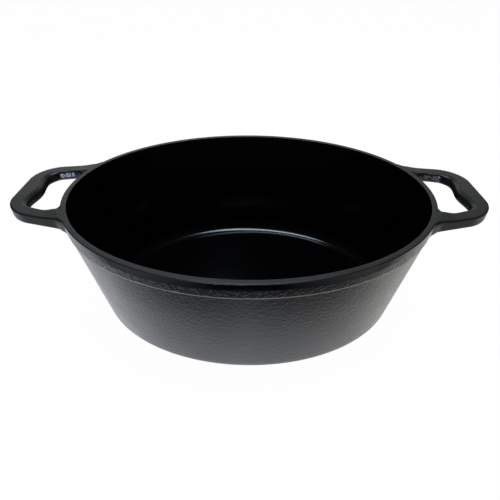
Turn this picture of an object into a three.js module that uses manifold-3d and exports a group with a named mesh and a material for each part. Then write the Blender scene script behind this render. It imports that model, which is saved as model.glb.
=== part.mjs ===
// Oval casserole pot in seasoned cast iron: a tapered oval pan with a banded rim and two loop handles.
// Millimetres, +Z up. The pot stands on z = 0, centred on the origin, with its long axis along X.
import * as THREE from 'three';
import { mergeVertices, toCreasedNormals } from 'three/addons/utils/BufferGeometryUtils.js';
import Module from 'manifold-3d';

const wasm = await Module();
wasm.setup();

// Pan
const RIM_LENGTH = 320;
const RIM_WIDTH = 250;
const POT_HEIGHT = 115;
const WALL_THICKNESS = 5.4;
const WALL_TAPER = 10.9; // degrees from upright, the same all round
const BASE_THICKNESS = 5.5;
const BASE_CORNER_RADIUS = 14; // outside, under the wall
const FLOOR_FILLET_RADIUS = 12; // inside, round the cooking floor

// Rim band
const BAND_HEIGHT = 15;
const BAND_STEP = 0.9; // how far the band stands proud of the wall at its lower edge
const BAND_EASE = 1.8; // height of the slant between the wall and the band
const BAND_TAPER = 10; // degrees from upright, between the slant and the lip
const LIP_HEIGHT = 6; // upright face at the top of the band
const LIP_SWELL_RADIUS = 9; // eases the upright face into the slope below it
const LIP_EDGE_RADIUS = 1.2;

// Handles
const HANDLE_REACH = 40.2; // from the end of the rim to the tip
const HANDLE_THICKNESS = 9.2;
const HANDLE_DROP = 1.1; // top of the handle below the top of the rim, at the end of the rim
const HANDLE_TILT = 2.1; // degrees, rising towards the tip
const HANDLE_EDGE_RADIUS = 2.2;
const ROOT_SPAN = 102.75; // over both arms, where they meet the rim
const TIP_SPAN = 78.25; // over both arms, carried on to the tip
const TIP_CORNER_RADIUS = 28;
const ARM_WIDTH = 12.65;
const GRIP_WIDTH = 14.2; // at the ends of the grip
const GRIP_SWELL = 2.5; // extra width at the middle of the grip, towards the pan
const HOLE_CORNER_RADIUS = 10.6;
const HOLE_ROOT_RADIUS = 9.7;
const ROOT_FLARE = 6; // length of the spread where an arm meets the rim
const ROOT_FLARE_RADIUS = 12;
const HANDLE_CLEARANCE = 0.3; // between a handle's root and the rim

// Facets
const RING_SEGMENTS = 80;
const ARC_STEPS = 4;
const SWELL_STEPS = 10;
const EDGE_STEPS = 3;
const CREASE_ANGLE = THREE.MathUtils.degToRad(35);

const endHalf = RIM_LENGTH / 2;
const sideHalf = RIM_WIDTH / 2;
const ovalStretch = endHalf - sideHalf;
const bandBottom = POT_HEIGHT - BAND_HEIGHT;
const baseTop = Math.max(BASE_CORNER_RADIUS, BASE_THICKNESS + FLOOR_FILLET_RADIUS);
const taperSlope = Math.tan(THREE.MathUtils.degToRad(WALL_TAPER));
const bandSlope = Math.tan(THREE.MathUtils.degToRad(BAND_TAPER));
const bandHalf = sideHalf - (BAND_HEIGHT - BAND_EASE - LIP_HEIGHT) * bandSlope;

// Half width of the pan at a height, outside and inside the wall.
const outsideAt = (z) => bandHalf - BAND_STEP - (bandBottom - z) * taperSlope;
const insideAt = (z) => outsideAt(z) - WALL_THICKNESS;

// A closed outline with its corners rounded. A corner is [x, y] or [x, y, radius].
function roundCorners(corners) {
  const points = [];
  corners.forEach(([x, y, radius = 0], index) => {
    const corner = new THREE.Vector2(x, y);
    if (radius === 0) {
      points.push(corner);
      return;
    }
    const before = new THREE.Vector2(...corners.at(index - 1)).sub(corner).normalize();
    const after = new THREE.Vector2(...corners[(index + 1) % corners.length]).sub(corner).normalize();
    const halfAngle = Math.acos(before.dot(after)) / 2;
    const middle = before.clone().add(after).normalize();
    const centre = middle.multiplyScalar(radius / Math.sin(halfAngle)).add(corner);
    const start = before.clone().multiplyScalar(radius / Math.tan(halfAngle)).add(corner);
    const sweep = (Math.PI - 2 * halfAngle) * Math.sign(after.cross(before));
    for (let step = 0; step <= ARC_STEPS; step++) {
      points.push(start.clone().rotateAround(centre, sweep * step / ARC_STEPS));
    }
  });
  return points;
}

// Keeps only the positions, shared between neighbouring faces, so that the mesh is one closed skin.
function closeSkin(geometry) {
  geometry.deleteAttribute('normal');
  geometry.deleteAttribute('uv');
  return mergeVertices(geometry);
}

// A lathe about Z whose rings are all drawn out along X by the same amount. The wall keeps one thickness
// and one taper round the whole oval, and a point on the axis becomes a line along the middle of the oval.
function ovalLathe(profile) {
  const lathe = new THREE.LatheGeometry(profile, RING_SEGMENTS);
  const position = lathe.getAttribute('position');
  for (let index = 0; index < position.count; index++) {
    const turn = 2 * Math.PI * Math.floor(index / profile.length) / RING_SEGMENTS;
    position.setX(index, position.getX(index) + ovalStretch * Math.sin(turn));
  }
  return closeSkin(lathe.rotateX(Math.PI / 2));
}

// The outer side of the band from its lower edge to the top of the lip, set outwards by a clearance.
function bandOutside(clearance = 0) {
  const lower = outsideAt(bandBottom) + clearance;
  const lip = sideHalf + clearance;
  return [
    [lower, bandBottom],
    [lower + BAND_STEP, bandBottom + BAND_EASE],
    [lip, POT_HEIGHT - LIP_HEIGHT, LIP_SWELL_RADIUS],
    [lip, POT_HEIGHT, LIP_EDGE_RADIUS],
  ];
}

function makeBase() {
  return ovalLathe(roundCorners([
    [0, 0],
    [outsideAt(0), 0, BASE_CORNER_RADIUS],
    [outsideAt(baseTop), baseTop],
    [insideAt(baseTop), baseTop],
    [insideAt(BASE_THICKNESS), BASE_THICKNESS, FLOOR_FILLET_RADIUS],
    [0, BASE_THICKNESS],
  ]));
}

function makeSideWall() {
  const corners = [
    [insideAt(baseTop), baseTop],
    [outsideAt(baseTop), baseTop],
    [outsideAt(bandBottom), bandBottom],
    [insideAt(bandBottom), bandBottom],
  ];
  return ovalLathe(roundCorners([...corners, corners[0]]));
}

function makeRim() {
  const start = [insideAt(bandBottom), bandBottom];
  return ovalLathe(roundCorners([
    start,
    ...bandOutside(),
    [insideAt(POT_HEIGHT), POT_HEIGHT, LIP_EDGE_RADIUS],
    start,
  ]));
}

// X of the rim's outer edge at a distance y from the long axis.
const rimEdgeAt = (y) => endHalf * Math.sqrt(1 - (y / sideHalf) ** 2);

// Plan of one handle at the +X end. Its inner side lies inside the pan, where the cut takes it away.
function handlePlan() {
  const rootHalf = ROOT_SPAN / 2;
  const tipHalf = TIP_SPAN / 2;
  const rootX = rimEdgeAt(rootHalf);
  const tipX = endHalf + HANDLE_REACH;
  const gripX = tipX - GRIP_WIDTH;
  const armAt = (x) => THREE.MathUtils.mapLinear(x, rootX, tipX, rootHalf, tipHalf);
  const flareX = rootX + ROOT_FLARE;
  const flareIn = [rootX - ROOT_FLARE, rootHalf + ROOT_FLARE];
  const holeX = rimEdgeAt(rootHalf - ARM_WIDTH);
  const gripHalf = armAt(gripX) - ARM_WIDTH;
  const swellHalf = gripHalf - HOLE_CORNER_RADIUS;

  const upperSide = [
    [tipX, tipHalf, TIP_CORNER_RADIUS],
    [flareX, armAt(flareX), ROOT_FLARE_RADIUS],
    flareIn,
  ];
  const lowerSide = upperSide.map(([x, y, ...radius]) => [x, -y, ...radius]).reverse();
  const plan = new THREE.Shape(roundCorners([...upperSide, ...lowerSide]));

  const swell = [];
  for (let step = 0; step <= SWELL_STEPS; step++) {
    const along = THREE.MathUtils.mapLinear(step, 0, SWELL_STEPS, -1, 1);
    swell.push([gripX - GRIP_SWELL * (1 + Math.cos(Math.PI * along)) / 2, swellHalf * along]);
  }
  plan.holes.push(new THREE.Path(roundCorners([
    [holeX, armAt(holeX) - ARM_WIDTH, HOLE_ROOT_RADIUS],
    [holeX, ARM_WIDTH - armAt(holeX), HOLE_ROOT_RADIUS],
    [gripX, -gripHalf, HOLE_CORNER_RADIUS],
    ...swell,
    [gripX, gripHalf, HOLE_CORNER_RADIUS],
  ])));
  return plan;
}

function toSolid(geometry) {
  const mesh = new wasm.Mesh({
    numProp: 3,
    vertProperties: geometry.getAttribute('position').array,
    triVerts: Uint32Array.from(geometry.index.array),
  });
  return new wasm.Manifold(mesh);
}

function fromSolid(solid) {
  const mesh = solid.getMesh();
  const geometry = new THREE.BufferGeometry();
  geometry.setAttribute('position', new THREE.BufferAttribute(mesh.vertProperties, 3));
  geometry.setIndex(new THREE.BufferAttribute(mesh.triVerts, 1));
  return geometry;
}

// The handle is a plate with rounded edges. Its root is cut to the outside of the pan with a small clearance.
function makeHandle() {
  const plate = new THREE.ExtrudeGeometry(handlePlan(), {
    depth: HANDLE_THICKNESS - 2 * HANDLE_EDGE_RADIUS,
    bevelThickness: HANDLE_EDGE_RADIUS,
    bevelSize: HANDLE_EDGE_RADIUS,
    bevelOffset: -HANDLE_EDGE_RADIUS,
    bevelSegments: EDGE_STEPS,
  });
  plate.translate(-endHalf, 0, HANDLE_EDGE_RADIUS - HANDLE_THICKNESS);
  plate.rotateY(-THREE.MathUtils.degToRad(HANDLE_TILT));
  plate.translate(endHalf, 0, POT_HEIGHT - HANDLE_DROP);
  const pan = ovalLathe(roundCorners([
    [0, 0],
    [outsideAt(0) + HANDLE_CLEARANCE, 0],
    ...bandOutside(HANDLE_CLEARANCE),
    [0, POT_HEIGHT],
  ]));
  return fromSolid(toSolid(closeSkin(plate)).subtract(toSolid(pan)));
}

function addPiece(name, geometry, finish) {
  const piece = new THREE.Mesh(
    toCreasedNormals(geometry, CREASE_ANGLE),
    new THREE.MeshStandardMaterial(finish),
  );
  piece.name = name;
  pot.add(piece);
  return piece;
}

const pot = new THREE.Group();
const floorFinish = { color: '#161718', roughness: 0.35, metalness: 0.2 };
const wallFinish = { color: '#2a2b2d', roughness: 0.55, metalness: 0.2 };
const rimFinish = { color: '#2e2f31', roughness: 0.45, metalness: 0.2 };
const handleFinish = { color: '#28292b', roughness: 0.45, metalness: 0.2 };

addPiece('base', makeBase(), floorFinish);
addPiece('side_wall', makeSideWall(), wallFinish);
addPiece('rim', makeRim(), rimFinish);
const handle = makeHandle();
addPiece('right_handle', handle, handleFinish);
addPiece('left_handle', handle, handleFinish).rotation.z = Math.PI;

export default pot;
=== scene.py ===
# %% [markdown]
# # An oval casserole pot in seasoned cast iron
#
# The real pot is one sand casting: a tapered oval pan with a thicker band round its rim and a loop handle
# at each end. It was seasoned with oil, so it is black, nearly mirror-dark inside and a satin grey-black
# outside. This lesson builds the five regions of the casting as finished meshes, gives each surface its own
# iron finish, and lights the pot like a product photograph on white.
#
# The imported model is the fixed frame. It comes in first, in metres with +Z up, and nothing in it is moved.

# %% Load the frame
import math

import bmesh
import bpy
from mathutils import Matrix, Vector
from mathutils.bvhtree import BVHTree


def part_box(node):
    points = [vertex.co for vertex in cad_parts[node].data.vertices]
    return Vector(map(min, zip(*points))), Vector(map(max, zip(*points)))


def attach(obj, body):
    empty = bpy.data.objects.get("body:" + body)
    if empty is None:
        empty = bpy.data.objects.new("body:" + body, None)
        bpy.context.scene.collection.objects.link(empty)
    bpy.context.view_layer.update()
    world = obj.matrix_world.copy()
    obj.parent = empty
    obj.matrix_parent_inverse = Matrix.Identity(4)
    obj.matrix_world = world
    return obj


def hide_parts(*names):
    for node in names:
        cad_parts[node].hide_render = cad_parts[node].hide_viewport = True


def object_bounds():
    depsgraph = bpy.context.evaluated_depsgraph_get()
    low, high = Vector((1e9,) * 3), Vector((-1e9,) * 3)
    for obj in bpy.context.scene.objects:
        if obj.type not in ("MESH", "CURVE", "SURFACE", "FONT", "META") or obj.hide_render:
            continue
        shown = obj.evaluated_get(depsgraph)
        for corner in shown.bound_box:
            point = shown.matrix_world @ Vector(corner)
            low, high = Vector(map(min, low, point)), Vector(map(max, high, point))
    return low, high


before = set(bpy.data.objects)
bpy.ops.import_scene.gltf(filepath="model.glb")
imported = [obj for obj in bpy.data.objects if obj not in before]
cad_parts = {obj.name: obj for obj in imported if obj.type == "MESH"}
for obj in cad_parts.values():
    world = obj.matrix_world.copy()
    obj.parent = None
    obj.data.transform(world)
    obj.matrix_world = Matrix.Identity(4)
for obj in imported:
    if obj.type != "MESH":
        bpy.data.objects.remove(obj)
cad_low, cad_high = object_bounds()

MM = 0.001
scene = bpy.context.scene
scene.view_settings.view_transform = "Standard"
print("frame nodes:", sorted(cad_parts))
print("pot size in mm:", [round(side / MM, 1) for side in cad_high - cad_low])

# %% [markdown]
# ## The camera
#
# A photograph is matched in two steps. First the viewing angle and distance make the ovals and the taper
# look right, and then the lens and its shift set the size and the place in the frame. The pot was shot from
# close by with a wide lens, which is why its near side looks so much larger than its far side. The pixel
# values below are positions in a square frame of 500 pixels.

# %% Camera
FRAME_PX = 500
FOCAL_PX = 415
POT_MIDDLE_PX = (248.05, 241.5)
CAMERA_DISTANCE = 398.3 * MM
CAMERA_ELEVATION = math.radians(36.03)
CAMERA_TURN = math.radians(0.56)
CAMERA_ROLL = math.radians(0.16)
SENSOR_WIDTH = 36.0
CLIP_START = 10 * MM

camera_data = bpy.data.cameras.new("Camera")
camera_data.sensor_width = SENSOR_WIDTH
camera_data.lens = SENSOR_WIDTH * FOCAL_PX / FRAME_PX
camera_data.clip_start = CLIP_START
frame_middle_px = (FRAME_PX - 1) / 2
camera_data.shift_x = (frame_middle_px - POT_MIDDLE_PX[0]) / FRAME_PX
camera_data.shift_y = (POT_MIDDLE_PX[1] - frame_middle_px) / FRAME_PX

camera = bpy.data.objects.new("Camera", camera_data)
pot_middle = Vector((0, 0, cad_high.z / 2))
aim = Matrix.Rotation(CAMERA_TURN, 4, "Z")
aim @= Matrix.Rotation(math.pi / 2 - CAMERA_ELEVATION, 4, "X")
aim @= Matrix.Rotation(CAMERA_ROLL, 4, "Z")
camera.matrix_world = Matrix.Translation(pot_middle) @ aim @ Matrix.Translation((0, 0, CAMERA_DISTANCE))
scene.collection.objects.link(camera)
scene.camera = camera
print("lens in mm:", round(camera_data.lens, 2))

# %% [markdown]
# ## Two helpers for the materials
#
# Colours are written as sRGB hex values, as a colour picker shows them, but shaders count in linear light,
# so one function converts them. The other function adds a node, sets its options and links its inputs, so
# that a material reads from top to bottom like a list of steps.

# %% Colour and node helpers
def srgb(hex_colour):
    """An sRGB hex value as the linear colour, with alpha, that a shader socket takes."""
    linear = []
    for start in (1, 3, 5):
        share = int(hex_colour[start:start + 2], 16) / 255
        linear.append(share / 12.92 if share <= 0.04045 else ((share + 0.055) / 1.055) ** 2.4)
    return (*linear, 1.0)


def add_node(tree, kind, inputs, **options):
    """Adds a node with its options. Each input is a value, or the socket that it is linked from."""
    node = tree.nodes.new(kind)
    for name, value in options.items():
        setattr(node, name, value)
    for name, value in inputs.items():
        if isinstance(value, bpy.types.NodeSocket):
            tree.links.new(value, node.inputs[name])
        else:
            node.inputs[name].default_value = value
    return node


print("mid grey in linear light:", round(srgb("#808080")[0], 3))

# %% [markdown]
# ## Seasoned cast iron
#
# Sand-cast iron keeps the print of the sand it was poured in: a fine grain with low pimples and dips.
# Baking oil onto it leaves a hard black film, which is glossy where the iron is smooth and satin where it is
# grainy. All the finishes of this pot are that one material, so one function builds them, and a finish is a
# set of numbers: how dark, how glossy, and how large and deep the grain is. Every pattern is drawn on Object
# coordinates, which are the same for all the pieces, so the grain runs on across the joints.
#
# The black skin under the oil is iron oxide, whose refractive index is well above the usual 1.5. That is
# why the outside mirrors its surroundings more strongly than black plastic would.

# %% The iron material
OIL_PATCH = 18 * MM
FILM_DETAIL = 4
GRAIN_DETAIL = 3
PIMPLE_DETAIL = 1
# Noise levels: from the glossiest to the most satin film, and from the foot to the top of a pimple.
FILM_SPREAD = (0.7, 1.3)
PIMPLE_SPREAD = (0.46, 0.7)
# A Mix node has sockets for each kind of value. These are the factor, the two colours and the mixed colour.
MIX_FACTOR, MIX_FIRST, MIX_SECOND, MIX_COLOUR = 0, 6, 7, 2


def seasoned_iron(name, dark, light, ior, gloss, satin, grain, grain_depth, pimple, pimple_depth):
    """Cast iron with baked oil on it. Colours are hex values; gloss and satin are the least and the most
    roughness; grain and pimple are the sizes of the two patterns, and the depths their heights."""
    material = bpy.data.materials.new(name)
    material.use_nodes = True
    tree = material.node_tree
    surface = tree.nodes["Principled BSDF"]
    surface.inputs["IOR"].default_value = ior
    place = add_node(tree, "ShaderNodeTexCoord", {}).outputs["Object"]

    film = add_node(tree, "ShaderNodeTexNoise",
                    {"Vector": place, "Scale": 1 / OIL_PATCH, "Detail": FILM_DETAIL}).outputs["Fac"]
    grains = add_node(tree, "ShaderNodeTexNoise",
                      {"Vector": place, "Scale": 1 / grain, "Detail": GRAIN_DETAIL}).outputs["Fac"]
    bumps = add_node(tree, "ShaderNodeTexNoise",
                     {"Vector": place, "Scale": 1 / pimple, "Detail": PIMPLE_DETAIL}).outputs["Fac"]

    colour = add_node(tree, "ShaderNodeMix",
                      {MIX_FACTOR: film, MIX_FIRST: srgb(dark), MIX_SECOND: srgb(light)}, data_type="RGBA")
    tree.links.new(colour.outputs[MIX_COLOUR], surface.inputs["Base Color"])
    uneven = add_node(tree, "ShaderNodeMath", {0: film, 1: grains}, operation="ADD").outputs[0]
    shine = add_node(tree, "ShaderNodeMapRange",
                     {"Value": uneven, "From Min": FILM_SPREAD[0], "From Max": FILM_SPREAD[1],
                      "To Min": gloss, "To Max": satin})
    tree.links.new(shine.outputs["Result"], surface.inputs["Roughness"])

    lumps = add_node(tree, "ShaderNodeMapRange",
                     {"Value": bumps, "From Min": PIMPLE_SPREAD[0], "From Max": PIMPLE_SPREAD[1]},
                     interpolation_type="SMOOTHSTEP").outputs["Result"]
    raised = add_node(tree, "ShaderNodeBump", {"Height": lumps, "Distance": pimple_depth}).outputs["Normal"]
    sanded = add_node(tree, "ShaderNodeBump",
                      {"Height": grains, "Distance": grain_depth, "Normal": raised})
    tree.links.new(sanded.outputs["Normal"], surface.inputs["Normal"])
    return material


print("oil patches in mm:", round(OIL_PATCH / MM))

# %% [markdown]
# The wall still has the sand's grain, a millimetre or two across, under a thick film of oil. The band was
# wiped, so its grain is drier and coarser to the eye. The inside is dressed smooth before seasoning and looks
# like black glass. The lip is dressed too, and its thicker film mirrors more. The sides of the finger holes
# keep a little grain under the same gloss, and their near-black colour is painted shade inside the holes. The
# land on top of the rim is ground, and the handles are held and rubbed, so both of those are satin.

# %% The seven finishes
wall_iron = seasoned_iron(
    "seasoned iron, as cast", "#0e0f10", "#191a1c", ior=1.9, gloss=0.20, satin=0.32,
    grain=1.3 * MM, grain_depth=0.045 * MM, pimple=3.0 * MM, pimple_depth=0.068 * MM)
band_iron = seasoned_iron(
    "seasoned iron, dry band", "#0a0b0c", "#121314", ior=1.5, gloss=0.24, satin=0.38,
    grain=1.5 * MM, grain_depth=0.2 * MM, pimple=2.6 * MM, pimple_depth=0.24 * MM)
smooth_iron = seasoned_iron(
    "seasoned iron, dressed smooth", "#030304", "#060607", ior=1.37, gloss=0.11, satin=0.16,
    grain=1.0 * MM, grain_depth=0.012 * MM, pimple=4.0 * MM, pimple_depth=0.012 * MM)
lip_iron = seasoned_iron(
    "seasoned iron, dressed lip", "#020203", "#040405", ior=1.62, gloss=0.14, satin=0.20,
    grain=1.1 * MM, grain_depth=0.03 * MM, pimple=3.5 * MM, pimple_depth=0.03 * MM)
# Painted shade: the near-black colour of this finish darkens the sides of the finger holes.
hole_iron_painted_shade = seasoned_iron(
    "seasoned iron, glossy hole sides with painted shade", "#020203", "#040405", ior=1.8, gloss=0.12, satin=0.20,
    grain=1.4 * MM, grain_depth=0.09 * MM, pimple=2.4 * MM, pimple_depth=0.08 * MM)
land_iron = seasoned_iron(
    "seasoned iron, ground land", "#111214", "#18191c", ior=1.66, gloss=0.40, satin=0.50,
    grain=0.9 * MM, grain_depth=0.04 * MM, pimple=3.0 * MM, pimple_depth=0.03 * MM)
handle_iron = seasoned_iron(
    "seasoned iron, satin handle", "#181715", "#1e1d1b", ior=1.55, gloss=0.37, satin=0.45,
    grain=0.9 * MM, grain_depth=0.02 * MM, pimple=5.0 * MM, pimple_depth=0.03 * MM)
print("finishes:", sorted(material.name for material in bpy.data.materials if "seasoned" in material.name))

# %% [markdown]
# ## The oval lathe
#
# The pan is not a stretched circle: its wall keeps one thickness and one taper all round. A designer draws
# the profile once, spins it about Z, and then draws each ring out along X by the same length. Scaling the
# spun shape along X would be quicker, but it would make the wall thicker and flatter at the two ends.
#
# A profile is a list of corners, each with a half width, a height and a rounding radius. A vertex bevel
# rounds a corner before the spin, so the arcs stay arcs all the way round.

# %% Rounded profiles and the oval lathe
RING_STEPS = 256
ARC_STEPS = 8
MERGE_REACH = 0.001 * MM

rim_low, rim_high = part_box("rim")
oval_stretch = rim_high.x - rim_high.y


def round_corner(bm, vert, radius, steps):
    """Swaps a corner between two edges for an arc of that radius."""
    arms = [edge.other_vert(vert).co - vert.co for edge in vert.link_edges]
    reach = radius / math.tan(arms[0].angle(arms[1]) / 2)
    bmesh.ops.bevel(bm, geom=[vert], offset=reach, offset_type="OFFSET", affect="VERTICES",
                    segments=steps, profile=0.5, material=-1)


def oval_lathe(corners):
    """A closed solid from a profile of (half width, height, rounding radius) corners. If the profile's two
    ends are equally far from the axis, the middle is filled; any other profile closes on itself."""
    bm = bmesh.new()
    verts = [bm.verts.new((half, 0, height)) for half, height, _ in corners]
    for start, end in zip(verts, verts[1:]):
        bm.edges.new((start, end))
    if corners[0][0] != corners[-1][0]:
        bm.edges.new((verts[-1], verts[0]))
    for vert, (_, _, radius) in zip(verts, corners):
        if radius:
            round_corner(bm, vert, radius, ARC_STEPS)
    bmesh.ops.spin(bm, geom=bm.verts[:] + bm.edges[:], axis=(0, 0, 1), cent=(0, 0, 0),
                   angle=2 * math.pi, steps=RING_STEPS, use_merge=True)
    bmesh.ops.remove_doubles(bm, verts=bm.verts, dist=MERGE_REACH)
    for vert in bm.verts:
        vert.co.x += oval_stretch * vert.co.x / vert.co.xy.length
    bmesh.ops.holes_fill(bm, edges=[edge for edge in bm.edges if edge.is_boundary])
    bmesh.ops.recalc_face_normals(bm, faces=bm.faces)
    return bm


print("oval stretch in mm:", round(oval_stretch / MM, 1))

# %% [markdown]
# A bmesh is only a workbench. A finished shape becomes a mesh, gets its finishes and stands in for one node
# of the frame. Smooth shading hides the facets of the round stretches, and the edges above an angle stay
# crisp. The mesh operators leave vertices and faces in an order that differs from run to run, so they are
# sorted by place, and the same script gives the same mesh each time.

# %% From a bmesh to a finished piece
SHARP_EDGE = math.radians(40)


def put_in_order(bm):
    """Sorts the vertices by place, and the faces by the place of their middles."""
    for index, vert in enumerate(sorted(bm.verts, key=lambda vert: vert.co[:])):
        vert.index = index
    bm.verts.sort()
    for index, face in enumerate(sorted(bm.faces, key=lambda face: face.calc_center_median()[:])):
        face.index = index
    bm.faces.sort()


def smooth_shade(bm):
    """Smooth shading everywhere, with a crease where two faces meet at a clear angle."""
    for face in bm.faces:
        face.smooth = True
    for edge in bm.edges:
        edge.smooth = edge.calc_face_angle(0) < SHARP_EDGE


def to_mesh(bm, name):
    """Turns a bmesh into a mesh of that name, with its parts in order, and frees it."""
    put_in_order(bm)
    mesh = bpy.data.meshes.new(name)
    bm.to_mesh(mesh)
    bm.free()
    return mesh


def finish_piece(mesh, name, node, finishes):
    """Makes a mesh into a piece of the pot that stands for one node of the frame."""
    for finish in finishes:
        mesh.materials.append(finish)
    piece = bpy.data.objects.new(name, mesh)
    scene.collection.objects.link(piece)
    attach(piece, "root")
    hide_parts(node)
    print(name, "faces:", len(mesh.polygons))


print("edges stay crisp from, in degrees:", round(math.degrees(SHARP_EDGE)))

# %% [markdown]
# ## Base and side wall
#
# The base is a flat floor with a round corner outside and a generous fillet inside, which lets the casting
# come out of the sand and a spoon reach the edge. The wall above leans out by about eleven degrees, and at
# its top a thicker band begins. All of them are spun from the same two slanted lines, the outside and the
# inside of the wall, which hang from the rim's box. Faces that look towards the middle of the pot get the
# smooth finish, and all the others the as-cast one.

# %% Base and side wall
WALL_TAPER = math.radians(10.9)
WALL_THICKNESS = 5.4 * MM
LIP_HEIGHT = 6 * MM
BAND_TAPER = math.radians(10)
BAND_EASE = 1.8 * MM
BAND_STEP = 0.9 * MM
BASE_THICKNESS = 5.5 * MM
BASE_CORNER_RADIUS = 14 * MM
FLOOR_FILLET_RADIUS = 12 * MM
FLOOR_MIDDLE = 10 * MM
TOWARDS_MIDDLE = 0.1
FLOOR_FACES_UP = 0.9

pot_top = rim_high.z
rim_half = rim_high.y
band_bottom = rim_low.z
base_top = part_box("base")[1].z
lip_foot = pot_top - LIP_HEIGHT
band_half = rim_half - (lip_foot - band_bottom - BAND_EASE) * math.tan(BAND_TAPER)


def outside_at(z):
    """Half width of the wall's outside at a height."""
    return band_half - BAND_STEP - (band_bottom - z) * math.tan(WALL_TAPER)


def inside_at(z):
    """Half width of the wall's inside at a height."""
    return outside_at(z) - WALL_THICKNESS


def faces_inwards(face):
    """True for a face that looks into the pot: up from the floor, or from the wall towards the middle."""
    middle = face.calc_center_median()
    outwards = face.normal.x * middle.x + face.normal.y * middle.y
    on_floor = face.normal.z > FLOOR_FACES_UP and middle.z < base_top
    return on_floor or outwards < -TOWARDS_MIDDLE * middle.xy.length


pan_finishes = [wall_iron, smooth_iron]


def paint_inside(bm):
    """Gives the smooth finish to the faces that look into the pot, and the as-cast one to all others."""
    for face in bm.faces:
        face.material_index = pan_finishes.index(smooth_iron if faces_inwards(face) else wall_iron)


base = oval_lathe([
    (FLOOR_MIDDLE, 0, 0),
    (outside_at(0), 0, BASE_CORNER_RADIUS),
    (outside_at(base_top), base_top, 0),
    (inside_at(base_top), base_top, 0),
    (inside_at(BASE_THICKNESS), BASE_THICKNESS, FLOOR_FILLET_RADIUS),
    (FLOOR_MIDDLE, BASE_THICKNESS, 0),
])
paint_inside(base)
smooth_shade(base)
finish_piece(to_mesh(base, "pot_base"), "pot_base", "base", pan_finishes)

wall = oval_lathe([
    (inside_at(base_top), base_top, 0),
    (outside_at(base_top), base_top, 0),
    (outside_at(band_bottom), band_bottom, 0),
    (inside_at(band_bottom), band_bottom, 0),
])
paint_inside(wall)
smooth_shade(wall)
finish_piece(to_mesh(wall, "pot_wall"), "pot_wall", "side_wall", pan_finishes)

# %% [markdown]
# ## Rim band
#
# Round the top the wall is thicker, which stiffens the rim and gives a lid something to sit on. A short slant
# leads from the wall out to the band. It looks down at the paper and mirrors its painted glow, which draws
# the thin bright line under the band. The lip above is upright and dressed smooth, and the land on top of it
# is ground flat.

# %% Rim band
LIP_SWELL_RADIUS = 9 * MM
LIP_EDGE_RADIUS = 0.8 * MM
INNER_EDGE_RADIUS = 0.3 * MM
BAND_EDGE_RADIUS = 0.5 * MM
LAND_FACES_UP = 0.6
SLANT_FACES_DOWN = 0.3


def band_outside(inset):
    """The outer side of the band, from its lower edge to the top of the lip, set inwards by an inset."""
    return [
        (band_half - BAND_STEP - inset, band_bottom, 0),
        (band_half - inset, band_bottom + BAND_EASE, BAND_EDGE_RADIUS),
        (rim_half - inset, lip_foot, LIP_SWELL_RADIUS),
        (rim_half - inset, pot_top - inset, LIP_EDGE_RADIUS),
    ]


def rim_finish(face):
    """The finish of a face of the rim: by the way it looks and, on the outside, by its height."""
    if face.normal.z > LAND_FACES_UP:
        return land_iron
    if face.normal.z < -SLANT_FACES_DOWN:
        return wall_iron
    if faces_inwards(face):
        return smooth_iron
    return lip_iron if face.calc_center_median().z > lip_foot else band_iron


rim = oval_lathe([
    (inside_at(band_bottom), band_bottom, 0),
    *band_outside(0),
    (inside_at(pot_top), pot_top, INNER_EDGE_RADIUS),
])
rim_finishes = [band_iron, smooth_iron, land_iron, wall_iron, lip_iron]
for face in rim.faces:
    face.material_index = rim_finishes.index(rim_finish(face))
smooth_shade(rim)
finish_piece(to_mesh(rim, "pot_rim"), "pot_rim", "rim", rim_finishes)

# %% [markdown]
# ## Loop handles
#
# Each handle is a flat loop cast in one with the rim. Its two arms draw in towards the grip, and the grip
# swells towards the pan under the fingers. The plan is drawn as a few corners, vertex bevels round the
# corners, and the flat face is extruded into a plate with plain upright sides. Its edges are left sharp for
# now, because they are rolled by different amounts, which one edge bevel can't do.

# %% Handle sizes
ROOT_SPAN = 102.75 * MM
TIP_SPAN = 78.25 * MM
HANDLE_THICKNESS = 9.2 * MM
HANDLE_DROP = 1.1 * MM
HANDLE_TILT = math.radians(2.1)
TIP_CORNER_RADIUS = 28 * MM
ARM_WIDTH = 11.8 * MM
ARM_SPREAD = 2.4 * MM
GRIP_WIDTH = 14.4 * MM
GRIP_SWELL = 2.4 * MM
HOLE_CORNER_RADIUS = 11.5 * MM
HOLE_ROOT_RADIUS = 10 * MM
ROOT_FLARE = 6 * MM
ROOT_FLARE_RADIUS = 12 * MM
HOLE_ROOT_OUT = 4.5 * MM
ROOT_INSIDE = 20 * MM

rim_end = rim_high.x
tip_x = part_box("right_handle")[1].x
root_half = ROOT_SPAN / 2
tip_half = TIP_SPAN / 2
root_x = rim_end * math.sqrt(1 - (root_half / rim_half) ** 2)
hole_x = rim_end * math.sqrt(1 - ((root_half - ARM_WIDTH) / rim_half) ** 2) + HOLE_ROOT_OUT
grip_x = tip_x - GRIP_WIDTH
print("finger hole from and to in mm:", round(hole_x / MM, 1), round(grip_x / MM, 1))

# %% Handle plan
SWELL_CUTS = 31
CORNER_STEPS = 24
NEAR = 0.01 * MM


def arm_at(x):
    """Half width over both arms at a distance along the handle."""
    return root_half + (tip_half - root_half) * (x - root_x) / (tip_x - root_x)


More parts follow.
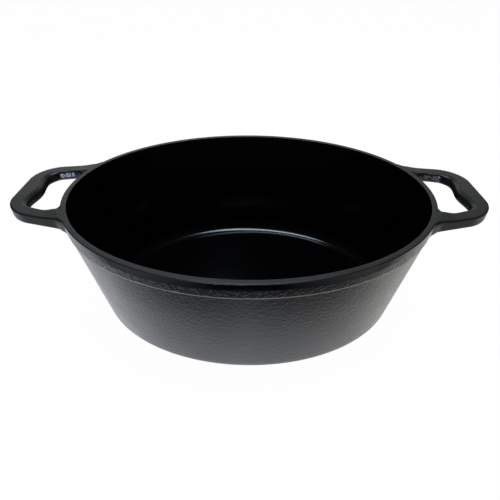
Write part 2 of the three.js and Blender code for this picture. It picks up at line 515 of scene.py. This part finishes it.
def loop_plan():
    """The handle's outline from above, as one flat face."""
    flare_x = root_x + ROOT_FLARE
    half_plan = [
        (tip_x, tip_half, TIP_CORNER_RADIUS),
        (flare_x, arm_at(flare_x), ROOT_FLARE_RADIUS),
        (root_x - ROOT_FLARE, root_half + ROOT_FLARE, 0),
        (hole_x, ROOT_INSIDE, 0),
        (hole_x, arm_at(hole_x) - ARM_WIDTH, HOLE_ROOT_RADIUS),
        (grip_x, arm_at(grip_x) - ARM_WIDTH - ARM_SPREAD, HOLE_CORNER_RADIUS),
    ]
    plan = half_plan + [(x, -y, radius) for x, y, radius in reversed(half_plan)]
    bm = bmesh.new()
    verts = [bm.verts.new((x, y, 0)) for x, y, _ in plan]
    bm.faces.new(verts)
    for vert, (_, _, radius) in zip(verts, plan):
        if radius:
            round_corner(bm, vert, radius, CORNER_STEPS)

    grip = [edge for edge in bm.edges if all(abs(v.co.x - grip_x) < NEAR for v in edge.verts)]
    swell_half = max(v.co.y for edge in grip for v in edge.verts)
    bmesh.ops.subdivide_edges(bm, edges=grip, cuts=SWELL_CUTS)
    for vert in bm.verts:
        if abs(vert.co.x - grip_x) < NEAR:
            vert.co.x -= GRIP_SWELL * (1 + math.cos(math.pi * vert.co.y / swell_half)) / 2
    return bm


plate = loop_plan()
print("points of the plan:", len(plate.verts))

# %% Handle plate
FLAT_FACES_UP = 0.5

lowered = bmesh.ops.extrude_face_region(plate, geom=plate.faces[:])["geom"]
bmesh.ops.translate(plate, verts=[part for part in lowered if isinstance(part, bmesh.types.BMVert)],
                    vec=(0, 0, -HANDLE_THICKNESS))
bmesh.ops.recalc_face_normals(plate, faces=plate.faces)

# What the search tree finds depends on the order of the sides, so they are sorted before it is made.
put_in_order(plate)
upright = plate.copy()
flat_faces = [face for face in upright.faces if abs(face.normal.z) > FLAT_FACES_UP]
bmesh.ops.delete(upright, geom=flat_faces, context="FACES")
plate_sides = BVHTree.FromBMesh(upright)
upright.free()

tilt = Matrix.Translation((rim_end, 0, pot_top - HANDLE_DROP))
tilt @= Matrix.Rotation(-HANDLE_TILT, 4, "Y")
tilt @= Matrix.Translation((-rim_end, 0, 0))
bmesh.ops.transform(plate, matrix=tilt, verts=plate.verts)
print("handle plate faces:", len(plate.faces))

# %% [markdown]
# ## Handles blended into the rim
#
# Where an arm meets the rim, a casting has no sharp corner: the sand there is filleted. A boolean union
# would leave a crease, so the plate is set into a slice of the rim's band, both are turned into one skin by a
# voxel remesh, and the skin is smoothed near the wall until the corner fills up. The slice lies a little
# inside the real band, so only the fillet shows.

# %% Plate and band in one skin
SLICE_INSET = 0.25 * MM
SLICE_DEPTH = 2.6 * MM
SLICE_FROM = (125 * MM, 20 * MM)
VOXEL = 0.5 * MM
BLEND_REACH = 5 * MM
BLEND_PASSES = 40
SMOOTH_SHARE = 0.5


def past_rim(point):
    """About how far a point lies outside the rim's oval, seen from above."""
    return (math.hypot(point.x / rim_end, point.y / rim_half) - 1) * rim_end


def band_slice():
    """A thin piece of the band behind the arms' roots, just inside its outer surface."""
    outer = band_outside(SLICE_INSET)
    inner = [(half - SLICE_DEPTH, height, 0) for half, height, _ in reversed(outer)]
    bm = oval_lathe(outer + inner)
    for axis, start in ((Vector((1, 0, 0)), SLICE_FROM[0]), (Vector((0, 1, 0)), SLICE_FROM[1])):
        bmesh.ops.bisect_plane(bm, geom=bm.verts[:] + bm.edges[:] + bm.faces[:], plane_co=axis * start,
                               plane_no=axis, clear_inner=True)
    bmesh.ops.holes_fill(bm, edges=[edge for edge in bm.edges if edge.is_boundary])
    bmesh.ops.mirror(bm, geom=bm.verts[:] + bm.edges[:] + bm.faces[:], axis="Y", merge_dist=0)
    bmesh.ops.recalc_face_normals(bm, faces=bm.faces)
    return bm


def remeshed(mesh):
    """A copy of a mesh as one skin of even quads, with overlapping solids fused."""
    rough = bpy.data.objects.new("rough", mesh)
    scene.collection.objects.link(rough)
    modifier = rough.modifiers.new("skin", "REMESH")
    modifier.mode = "VOXEL"
    modifier.voxel_size = VOXEL
    skin = bpy.data.meshes.new_from_object(rough.evaluated_get(bpy.context.evaluated_depsgraph_get()))
    bpy.data.objects.remove(rough)
    return skin


def smooth_skin(bm, verts, passes):
    """Draws each vertex half way to the middle of its neighbours, a number of times."""
    for _ in range(passes):
        bmesh.ops.smooth_vert(bm, verts=verts, factor=SMOOTH_SHARE,
                              use_axis_x=True, use_axis_y=True, use_axis_z=True)


plate.from_mesh(to_mesh(band_slice(), "band_slice"))
handle = bmesh.new()
handle.from_mesh(remeshed(to_mesh(plate, "handle_rough")))
smooth_skin(handle, [vert for vert in handle.verts if past_rim(vert.co) < BLEND_REACH], BLEND_PASSES)
print("handle skin faces:", len(handle.faces))

# %% [markdown]
# ## The handle's section
#
# The mould parts at the top of the handle, so the outer sides are drafted: they lean in a little on the way
# down. The core that leaves the finger hole is drawn out upwards, so the sides of the hole lean the other way
# and look up at the light. The edges are crisp, except on the grip, which is rolled where the fingers close
# round it. All of that is a rule about two distances: how far a point of the skin lies in from the nearest
# side, and how far below the top. A search tree of the plate's upright sides gives the first, and a point
# that sticks out of a rolled corner is drawn onto its arc.

# %% Drafted sides and rolled edges
OUTER_ROLL = 1.2 * MM
OUTER_UNDER_ROLL = 1.2 * MM
HOLE_ROLL = 1.6 * MM
HOLE_UNDER_ROLL = 3.4 * MM
GRIP_ROLL = 4.4 * MM
GRIP_UNDER_ROLL = 1.5 * MM
# How far a side leans in at the top and at the bottom.
OUTER_LEAN = (0.0, 0.8 * MM)
HOLE_LEAN = (1.0 * MM, -0.4 * MM)
LEAN_REACH = 4 * MM
# From where an arm's side starts to turn into the grip's, to where it has.
GRIP_TURN = (0.3, 0.95)
# Distances past the rim between which the section comes in.
SECTION_FROM = (0.5 * MM, 5 * MM)
SKIN_PASSES = 2


def rises(value, low, high):
    """A smooth step from 0 at low to 1 at high."""
    share = min(max((value - low) / (high - low), 0), 1)
    return share * share * (3 - 2 * share)


def beside_hole(point):
    """True on the half of an arm or of the grip that lies next to the finger hole."""
    return abs(point.y) < arm_at(point.x) - ARM_WIDTH / 2 and point.x < grip_x + GRIP_WIDTH / 2


def side_shape(spot, outwards):
    """The section at a spot on the plate's sides: the radii of the top and the lower edge, and how far the
    side leans in at the top and at the bottom."""
    if not beside_hole(spot):
        return OUTER_ROLL, OUTER_UNDER_ROLL, *OUTER_LEAN
    grip = rises(-outwards.x, *GRIP_TURN)
    top_roll = HOLE_ROLL + (GRIP_ROLL - HOLE_ROLL) * grip
    low_roll = HOLE_UNDER_ROLL + (GRIP_UNDER_ROLL - HOLE_UNDER_ROLL) * grip
    return top_roll, low_roll, *(lean * (1 - grip) for lean in HOLE_LEAN)


def onto_arc(inset, depth, radius):
    """Draws a point of a square corner in, onto the arc that rolls the corner."""
    arm = Vector((min(inset - radius, 0), min(depth - radius, 0)))
    if arm.x == 0 or arm.y == 0 or arm.length <= radius:
        return inset, depth
    arm *= radius / arm.length
    return radius + arm.x, radius + arm.y


def sectioned(point, strength):
    """Where a point of the plain plate goes on the drafted and rolled one."""
    spot, outwards, *_ = plate_sides.find_nearest(point)
    inset = (spot - point).dot(outwards)
    top_roll, low_roll, top_lean, low_lean = (strength * value for value in side_shape(spot, outwards))
    new_inset, depth = onto_arc(inset, -point.z, top_roll)
    new_inset, height = onto_arc(new_inset, HANDLE_THICKNESS - depth, low_roll)
    depth = HANDLE_THICKNESS - height
    lean = top_lean + (low_lean - top_lean) * depth / HANDLE_THICKNESS
    new_inset += lean * max(1 - new_inset / LEAN_REACH, 0)
    moved = point + outwards * (inset - new_inset)
    return Vector((moved.x, moved.y, -depth))


untilt = tilt.inverted()
for vert in handle.verts:
    strength = rises(past_rim(vert.co), *SECTION_FROM)
    if strength > 0:
        vert.co = tilt @ sectioned(untilt @ vert.co, strength)
smooth_skin(handle, handle.verts, SKIN_PASSES)
print("highest point of the handle in mm:", round(max(vert.co.z for vert in handle.verts) / MM, 1))

# %% [markdown]
# On top, an arm rises by a hair at its root, so that it runs flush into the ground land of the rim. The sides
# of the finger hole are glossy, and their near-black colour is painted shade inside the hole.

# %% Flush roots and the two finished handles
FLUSH_GAP = 0.03 * MM
FLUSH_REACH = 16 * MM
FLUSH_SIDE = 5 * MM
FLUSH_RISE = 2 * MM
# Faces of the hole's sides that lean between these get the finish with painted shade; on the grip, only below
# the second limit here.
HOLE_FACES_UP = (-0.95, 0.3)
GRIP_FACES_UP = 0.05


def flush_share(point):
    """How far a point of the skin is lifted to the land: 1 on top of a root, 0 along the arm and below."""
    out = past_rim(point)
    off_arm = abs(abs(point.y) - arm_at(point.x) + ARM_WIDTH / 2) - ARM_WIDTH / 2
    share = 1 - rises(out, 0, FLUSH_REACH)
    share *= rises(out, -2 * LIP_EDGE_RADIUS, -LIP_EDGE_RADIUS)
    share *= 1 - rises(off_arm, 0, FLUSH_SIDE)
    return share * rises(point.z, pot_top - HANDLE_THICKNESS, pot_top - FLUSH_RISE)


def lines_hole(face):
    """True for a face on the sides of the finger hole, below its rolled edge."""
    on_grip = abs(face.normal.x) > abs(face.normal.y)
    below = GRIP_FACES_UP if on_grip else HOLE_FACES_UP[1]
    return beside_hole(face.calc_center_median()) and HOLE_FACES_UP[0] < face.normal.z < below


for vert in handle.verts:
    arm_top = pot_top - HANDLE_DROP + (vert.co.x - rim_end) * math.tan(HANDLE_TILT)
    lifted = vert.co.z + flush_share(vert.co) * (pot_top - arm_top)
    vert.co.z = min(lifted, max(vert.co.z, pot_top - FLUSH_GAP))
handle.normal_update()

# The sides of the hole get the glossy finish with painted shade.
loop_finishes = [handle_iron, hole_iron_painted_shade]
for face in handle.faces:
    face.smooth = True
    face.material_index = loop_finishes.index(hole_iron_painted_shade if lines_hole(face) else handle_iron)
handle_mesh = to_mesh(handle, "right_loop")
left_mesh = handle_mesh.copy()
left_mesh.name = "left_loop"
left_mesh.transform(Matrix.Rotation(math.pi, 4, "Z"))
finish_piece(handle_mesh, "right_loop", "right_handle", loop_finishes)
finish_piece(left_mesh, "left_loop", "left_handle", loop_finishes)

# %% [markdown]
# ## Floor
#
# The pot stands on plain white paper, which lies a hair below its foot, because two faces in one plane
# flicker.

# %% Floor sheet
FLOOR_HALF = 6.0
FLOOR_GAP = 0.05 * MM

sheet = bmesh.new()
bmesh.ops.create_grid(sheet, x_segments=1, y_segments=1, size=FLOOR_HALF)
bmesh.ops.translate(sheet, verts=sheet.verts, vec=(0, 0, -FLOOR_GAP))
floor_mesh = to_mesh(sheet, "floor")
floor = bpy.data.objects.new("floor", floor_mesh)
scene.collection.objects.link(floor)
print("floor half width in m:", FLOOR_HALF)

# %% [markdown]
# For the camera the paper is an even white with a faint shadow in it. What the iron mirrors is a different
# matter: a black pot shows its surroundings, and for mirror rays the paper carries a painted glow. This
# painted light is bright beside the pot, and painted shade falls off from it in front of the pot and behind
# it. So for mirror rays the paper glows as far as the pot's foot and then darkens towards the camera, along
# an edge that bows round the pot. That painted glow is what draws the wall from light at its foot and its
# ends to dark at the top of its middle. The two front corners are painted a little paler again, which shows
# as the soft light towards the ends of the lip.

# %% Painted glow of the paper in mirror rays
SHADE_REACH = 260 * MM
# Shares of that reach towards the camera, each with the level of the painted glow there.
PAPER_FALL = ((0.38, 1.0), (0.45, 0.85), (0.49, 0.73), (0.57, 0.54), (0.61, 0.34), (0.65, 0.15),
              (0.88, 0.13), (0.96, 0.01), (1, 0))
# A distance to the side, and how much nearer to the pot the painted shade begins there.
SHADE_BOW = (170 * MM, 43 * MM)
# Where the painted shade behind the pot begins and where it is full, and the level it falls to.
SHADE_BEHIND = (60 * MM, 170 * MM)
SHADE_LEVEL = 0.02
# Painted light: the two front corners of the paper glow paler again, up to this level.
FRONT_CORNERS = (60 * MM, 230 * MM)
CORNERS_FROM = (-80 * MM, -160 * MM)
CORNER_LEVEL = 0.42
# Painted shade: the glow on the right side is dimmed to this share.
PAPER_SIDES = (-100 * MM, 100 * MM)
RIGHT_SHARE = 0.84

paper = bpy.data.materials.new("white paper sweep")
paper.use_nodes = True
tree = paper.node_tree
tree.nodes.remove(tree.nodes["Principled BSDF"])
place = add_node(tree, "ShaderNodeTexCoord", {}).outputs["Object"]
spot = add_node(tree, "ShaderNodeSeparateXYZ", {0: place}).outputs
aside = add_node(tree, "ShaderNodeMath", {0: spot["X"]}, operation="ABSOLUTE").outputs[0]
bow = add_node(tree, "ShaderNodeMapRange",
               {"Value": aside, "From Max": SHADE_BOW[0], "To Max": SHADE_BOW[1]}).outputs["Result"]
ahead = add_node(tree, "ShaderNodeMath", {0: bow, 1: spot["Y"]}, operation="SUBTRACT").outputs[0]
reach = add_node(tree, "ShaderNodeMath", {0: ahead, 1: SHADE_REACH}, operation="DIVIDE").outputs[0]
fall = add_node(tree, "ShaderNodeValToRGB", {"Fac": reach})
stops = fall.color_ramp.elements
stops.remove(stops[1])
for share, level in PAPER_FALL:
    stops.new(share).color = (level, level, level, 1)
stops.remove(stops[0])

corner = add_node(tree, "ShaderNodeMapRange",
                  {"Value": aside, "From Min": FRONT_CORNERS[0], "From Max": FRONT_CORNERS[1],
                   "To Max": CORNER_LEVEL}).outputs["Result"]
forward = add_node(tree, "ShaderNodeMapRange",
                   {"Value": spot["Y"], "From Min": CORNERS_FROM[0],
                    "From Max": CORNERS_FROM[1]}).outputs["Result"]
corners = add_node(tree, "ShaderNodeMath", {0: corner, 1: forward}, operation="MULTIPLY").outputs[0]
front = add_node(tree, "ShaderNodeMath", {0: fall.outputs["Color"], 1: corners},
                 operation="MAXIMUM").outputs[0]
side = add_node(tree, "ShaderNodeMapRange",
                {"Value": spot["X"], "From Min": PAPER_SIDES[0], "From Max": PAPER_SIDES[1],
                 "To Min": 1, "To Max": RIGHT_SHARE}).outputs["Result"]
behind = add_node(tree, "ShaderNodeMapRange",
                  {"Value": spot["Y"], "From Min": SHADE_BEHIND[0], "From Max": SHADE_BEHIND[1],
                   "To Min": 1, "To Max": SHADE_LEVEL}, interpolation_type="SMOOTHSTEP").outputs["Result"]
sided = add_node(tree, "ShaderNodeMath", {0: front, 1: side}, operation="MULTIPLY").outputs[0]
glow = add_node(tree, "ShaderNodeMath", {0: sided, 1: behind}, operation="MULTIPLY").outputs[0]
print("steps of the glow:", len(stops))

# %% [markdown]
# The painted glow is cool on the left and a touch warm on the right, and the two ends of the wall take that
# on.
# Light Path tells the rays apart: a camera ray sees the white paper, a mirror ray its painted glow, and any
# other ray plain matt paper that throws light back onto the pot.

# %% Paper for each kind of ray
# Tints of the painted glow, cool on the left and warm on the right.
COOL_WHITE = srgb("#f6f9ff")
WARM_WHITE = srgb("#fffefb")
WARM_SIDE = (10 * MM, 150 * MM)
MATT_WHITE = srgb("#f6f6f6")
PAPER_GLOW = 0.985
PAPER_SHADOW = 0.05

rays = add_node(tree, "ShaderNodeLightPath", {}).outputs
mirrored = add_node(tree, "ShaderNodeMath", {0: rays["Is Glossy Ray"], 1: rays["Is Transmission Ray"]},
                    operation="MAXIMUM").outputs[0]
warmth = add_node(tree, "ShaderNodeMapRange",
                  {"Value": spot["X"], "From Min": WARM_SIDE[0], "From Max": WARM_SIDE[1]}).outputs["Result"]
tint = add_node(tree, "ShaderNodeMix", {MIX_FACTOR: warmth, MIX_FIRST: COOL_WHITE, MIX_SECOND: WARM_WHITE},
                data_type="RGBA").outputs[MIX_COLOUR]
# Painted light: the paper is no lamp, but it emits this glow to mirror rays only.
painted_glow = add_node(tree, "ShaderNodeEmission", {"Color": tint, "Strength": glow}).outputs[0]
matt = add_node(tree, "ShaderNodeBsdfDiffuse", {"Color": MATT_WHITE}).outputs[0]
white = add_node(tree, "ShaderNodeEmission", {"Strength": PAPER_GLOW}).outputs[0]
shadow = add_node(tree, "ShaderNodeBsdfDiffuse", {"Color": (PAPER_SHADOW,) * 3 + (1,)}).outputs[0]
seen = add_node(tree, "ShaderNodeAddShader", {0: white, 1: shadow}).outputs[0]
lit = add_node(tree, "ShaderNodeMixShader", {0: mirrored, 1: matt, 2: painted_glow}).outputs[0]
shown = add_node(tree, "ShaderNodeMixShader", {0: rays["Is Camera Ray"], 1: lit, 2: seen}).outputs[0]
tree.links.new(shown, tree.nodes["Material Output"].inputs["Surface"])
floor_mesh.materials.append(paper)
print("nodes of the paper:", len(tree.nodes))

# %% [markdown]
# ## Light
#
# A wide softbox hangs over the pot. It lights the tops of the rim and the handles and draws the thin line
# along the floor's fillet. Two low panels lie on the paper in front, the left one brighter, and glint in the
# far sides of the finger holes. The camera sees no lamps.

# %% Softbox and panels
SOFTBOX_SIZE = (0.47, 0.19)
SOFTBOX_PLACE = Vector((-0.02, -0.02, 1.0))
SOFTBOX_RADIANCE = 17.8
SOFTBOX_BLUE = srgb("#dcedff")
PANEL_SIZE = (0.3, 0.3)
PANEL_PLACE = Vector((0.17, -0.68, 0.005))
PANEL_RADIANCE = (13.0, 2.6)
PANEL_BLUE = srgb("#d5deff")


def soft_lamp(name, size, place, faces, radiance, colour):
    """A rectangular lamp that faces along a direction. Its power is what makes it look as bright as its
    radiance."""
    lamp_data = bpy.data.lights.new(name, "AREA")
    lamp_data.shape = "RECTANGLE"
    lamp_data.size, lamp_data.size_y = size
    lamp_data.color = colour[:3]
    lamp_data.energy = radiance * math.pi * size[0] * size[1]
    lamp = bpy.data.objects.new(name, lamp_data)
    turned = (-faces).to_track_quat("Z", "Y").to_matrix().to_4x4()
    lamp.matrix_world = Matrix.Translation(place) @ turned
    lamp.visible_camera = False
    scene.collection.objects.link(lamp)
    print(name, "power in W:", round(lamp_data.energy, 2))


soft_lamp("softbox", SOFTBOX_SIZE, SOFTBOX_PLACE, pot_middle - SOFTBOX_PLACE, SOFTBOX_RADIANCE, SOFTBOX_BLUE)
left_place = PANEL_PLACE * Vector((-1, 1, 1))
upwards = Vector((0, 0, 1))
soft_lamp("left panel", PANEL_SIZE, left_place, upwards, PANEL_RADIANCE[0], PANEL_BLUE)
soft_lamp("right panel", PANEL_SIZE, PANEL_PLACE, upwards, PANEL_RADIANCE[1], PANEL_BLUE)

# %% [markdown]
# The world is the rest of the studio: dark, with a wide pale window low down behind the pot, brighter on the
# left, which the tops of the handles mirror. It is drawn as one round patch of the sky that is folded over to
# the other side, with a bar that joins the two. The camera itself sees plain white.

# %% Studio
ROOM_LEVEL = 0.03
WINDOW_FACING = (0.37, 0.865, 0.34)
# How nearly a direction has to point at the window, from its faint edge to its full light.
WINDOW_EDGE = (0.955, 0.99)
WINDOW_LEVELS = (0.94, 0.66)
WINDOW_SPLIT = 0.1
WINDOW_BAR = 0.2

world = bpy.data.worlds.new("studio")
scene.world = world
world.use_nodes = True
tree = world.node_tree
rays = add_node(tree, "ShaderNodeLightPath", {}).outputs
facing = add_node(tree, "ShaderNodeTexCoord", {}).outputs["Generated"]
towards = add_node(tree, "ShaderNodeSeparateXYZ", {0: facing}).outputs
sideways = add_node(tree, "ShaderNodeMath", {0: towards["X"]}, operation="ABSOLUTE").outputs[0]
barred = add_node(tree, "ShaderNodeMath", {0: sideways, 1: WINDOW_BAR}, operation="MAXIMUM").outputs[0]
folded = add_node(tree, "ShaderNodeCombineXYZ",
                  {"X": barred, "Y": towards["Y"], "Z": towards["Z"]}).outputs[0]
nearness = add_node(tree, "ShaderNodeVectorMath", {0: folded, 1: WINDOW_FACING},
                    operation="DOT_PRODUCT").outputs["Value"]
pane = add_node(tree, "ShaderNodeMapRange",
                {"Value": nearness, "From Min": WINDOW_EDGE[0], "From Max": WINDOW_EDGE[1]},
                interpolation_type="SMOOTHSTEP").outputs["Result"]
daylight = add_node(tree, "ShaderNodeMapRange",
                    {"Value": towards["X"], "From Min": -WINDOW_SPLIT, "From Max": WINDOW_SPLIT,
                     "To Min": WINDOW_LEVELS[0], "To Max": WINDOW_LEVELS[1]}).outputs["Result"]
window = add_node(tree, "ShaderNodeMath", {0: pane, 1: daylight}, operation="MULTIPLY").outputs[0]
room = add_node(tree, "ShaderNodeMath", {0: window, 1: ROOM_LEVEL}, operation="ADD").outputs[0]
# Sockets 2 and 3 of a Mix node are its two plain numbers.
strength = add_node(tree, "ShaderNodeMix", {MIX_FACTOR: rays["Is Camera Ray"], 2: room, 3: 1.0}).outputs[0]
tree.links.new(strength, tree.nodes["Background"].inputs["Strength"])
tree.nodes["Background"].inputs["Color"].default_value = (1, 1, 1, 1)
print("room level:", ROOM_LEVEL, "window levels:", WINDOW_LEVELS)
